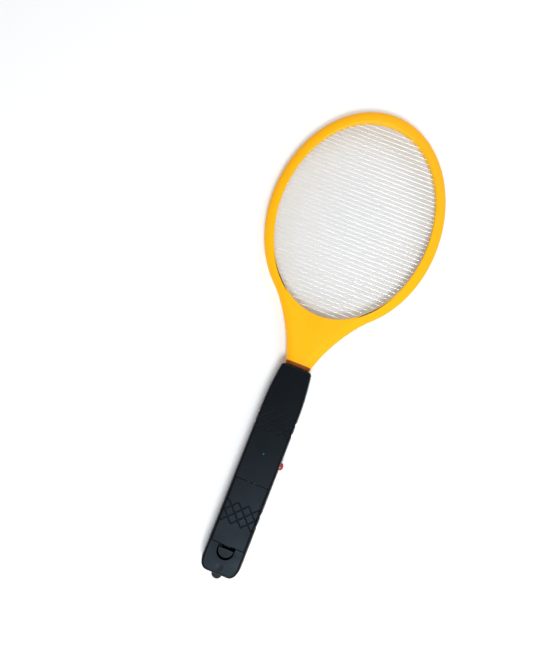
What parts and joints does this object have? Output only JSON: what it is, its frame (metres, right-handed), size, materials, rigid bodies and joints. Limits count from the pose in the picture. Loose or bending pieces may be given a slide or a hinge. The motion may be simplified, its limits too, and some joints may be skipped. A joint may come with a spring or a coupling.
{
  "type": "electric fly swatter",
  "caption": "Racket-shaped electric fly swatter: oval frame strung with parallel charged wires on a straight two-shell handle with side button and battery door.",
  "frame": {"origin": "centre of the bounding box in X and Y, on the surface that the back of the handle rests on", "axes": "+Y along the swatter from the hanging lug to the top of the head, +Z out of the front face with the battery door, +X towards the push button"},
  "size_m": [0.1828, 0.515, 0.03],
  "materials": {
    "black_abs": "semi-gloss moulded, fine spark-eroded texture",
    "yellow_abs": "semi-gloss moulded",
    "red_plastic": "gloss",
    "ivory_plastic": "matt",
    "dark_plastic": "matt",
    "wire_steel": "bright drawn wire",
    "plated_steel": "bright nickel plate",
    "screw_steel": "zinc plated",
    "board_laminate": "solder-mask lacquer",
    "ferrite": "matt sintered",
    "winding_tape": "polyester tape",
    "red_lacquer": "dipped lacquer",
    "blue_lacquer": "dipped lacquer",
    "tan_lacquer": "lacquer with colour bands",
    "green_lens": "clear tinted epoxy",
    "red_insulation": "soft PVC",
    "black_insulation": "soft PVC",
    "white_insulation": "soft PVC"
  },
  "bodies": {
    "housing": {"handle_front_shell": "black_abs", "handle_rear_shell": "black_abs", "battery_tray": "black_abs", "head_front_frame": "yellow_abs", "head_rear_frame": "yellow_abs", "live_grid_wires": "wire_steel", "return_grid_wires": "wire_steel", "live_bus_strip": "plated_steel", "return_bus_strip": "plated_steel", "switch_body": "dark_plastic", "circuit_board": "board_laminate", "transformer_core": "ferrite", "transformer_bobbin": "ivory_plastic", "transformer_winding": "winding_tape", "switching_transistor": "dark_plastic", "storage_capacitor": "red_lacquer", "multiplier_capacitors": "blue_lacquer", "rectifier_diodes": "dark_plastic", "resistors": "tan_lacquer", "indicator_led": "green_lens", "series_link_contact": "plated_steel", "positive_contact": "plated_steel", "negative_contact": "plated_steel", "lower_cell_spring": "plated_steel", "upper_cell_spring": "plated_steel", "positive_lead": "red_insulation", "negative_lead": "black_insulation", "live_high_voltage_lead": "red_insulation", "return_high_voltage_lead": "white_insulation", "handle_screws": "screw_steel"},
    "button": {"push_button": "red_plastic", "switch_plunger": "ivory_plastic"},
    "door": {"battery_door": "black_abs"},
    "latch": {"door_latch": "black_abs"}
  },
  "joints": [
    {"name": "button_press", "type": "slide", "parent": "housing", "child": "button", "axis": [-1, 0, 0], "range_m": [0, 0.0012], "stiffness_N_per_m": 900, "springref_m": -0.0012},
    {"name": "door_hinge", "type": "hinge", "parent": "housing", "child": "door", "pos_m": [0, -0.1561, 0.03], "axis": [-1, 0, 0], "range_deg": [0, 75]},
    {"name": "latch_flex", "type": "hinge", "parent": "housing", "child": "latch", "pos_m": [0, -0.2255, 0.003], "axis": [1, 0, 0], "range_deg": [0, 3.5], "stiffness_Nm_per_rad": 1.5, "springref_deg": -1.72}
  ]
}
